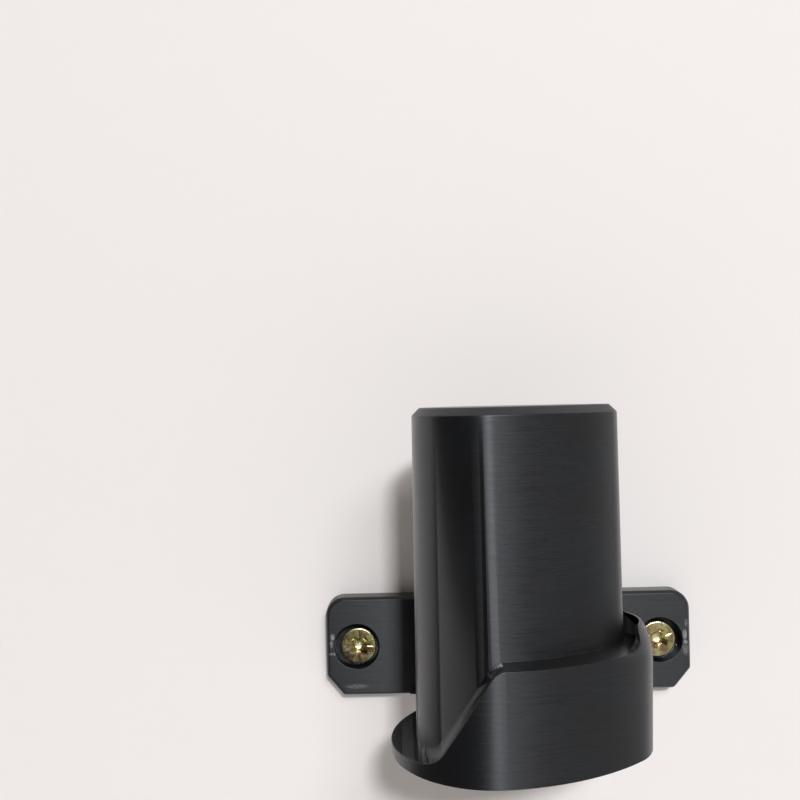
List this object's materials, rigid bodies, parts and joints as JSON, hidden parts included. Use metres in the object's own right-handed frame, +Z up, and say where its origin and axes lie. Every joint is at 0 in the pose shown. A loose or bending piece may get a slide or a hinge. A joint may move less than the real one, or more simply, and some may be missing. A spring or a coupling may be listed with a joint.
{
  "type": "power tool wall bracket",
  "caption": "Printed wall bracket with screw ears, a neck, and a battery-shaped foot and stem that the grip of a pistol-grip power tool drops onto.",
  "frame": {"origin": "middle of the wall plate's back face, halfway between the screw holes", "axes": "+Z up, +Y into the wall, +X towards the tool's rear; the tool's nose points to -X"},
  "size_m": [0.0828, 0.0901, 0.0653],
  "materials": {
    "printed_plastic": "dark grey filament in fine horizontal layers, satin",
    "yellow_zinc": "yellow passivated zinc on steel, bright",
    "nylon": "grey moulded nylon, satin"
  },
  "bodies": {
    "root": {"bracket_body": "printed_plastic", "screw_left": "yellow_zinc", "screw_right": "yellow_zinc", "wall_plug_left": "nylon", "wall_plug_right": "nylon"}
  },
  "joints": []
}
